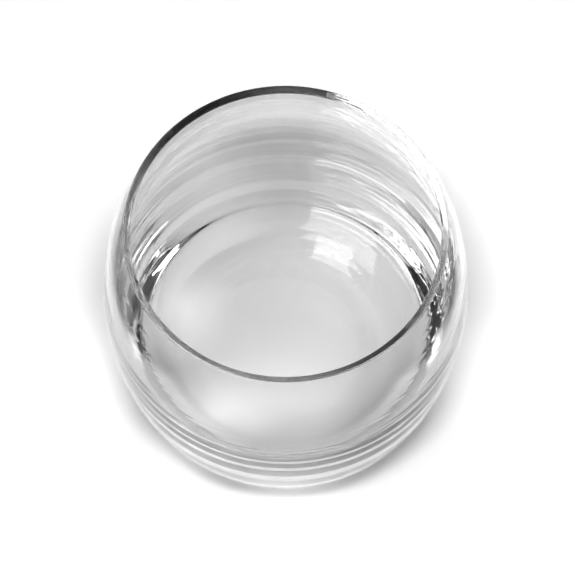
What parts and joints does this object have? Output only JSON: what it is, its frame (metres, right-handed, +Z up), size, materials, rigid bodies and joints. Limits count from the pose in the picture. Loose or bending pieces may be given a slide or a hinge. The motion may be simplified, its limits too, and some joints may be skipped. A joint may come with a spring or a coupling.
{
  "type": "rocks glass",
  "caption": "Heavy-bottomed clear glass tumbler with a bowl that swells to a belly, draws in to a thin lip and stands on a flat ring round a shallow hollow.",
  "frame": {"origin": "centre of the plane on which the glass stands", "axes": "+Z up along the axis of the glass, towards the lip"},
  "size_m": [0.0962, 0.0962, 0.088],
  "materials": {
    "glass": "clear, polished"
  },
  "bodies": {
    "root": {"base": "glass", "heel": "glass", "belly": "glass", "shoulder": "glass", "lip": "glass"}
  },
  "joints": []
}
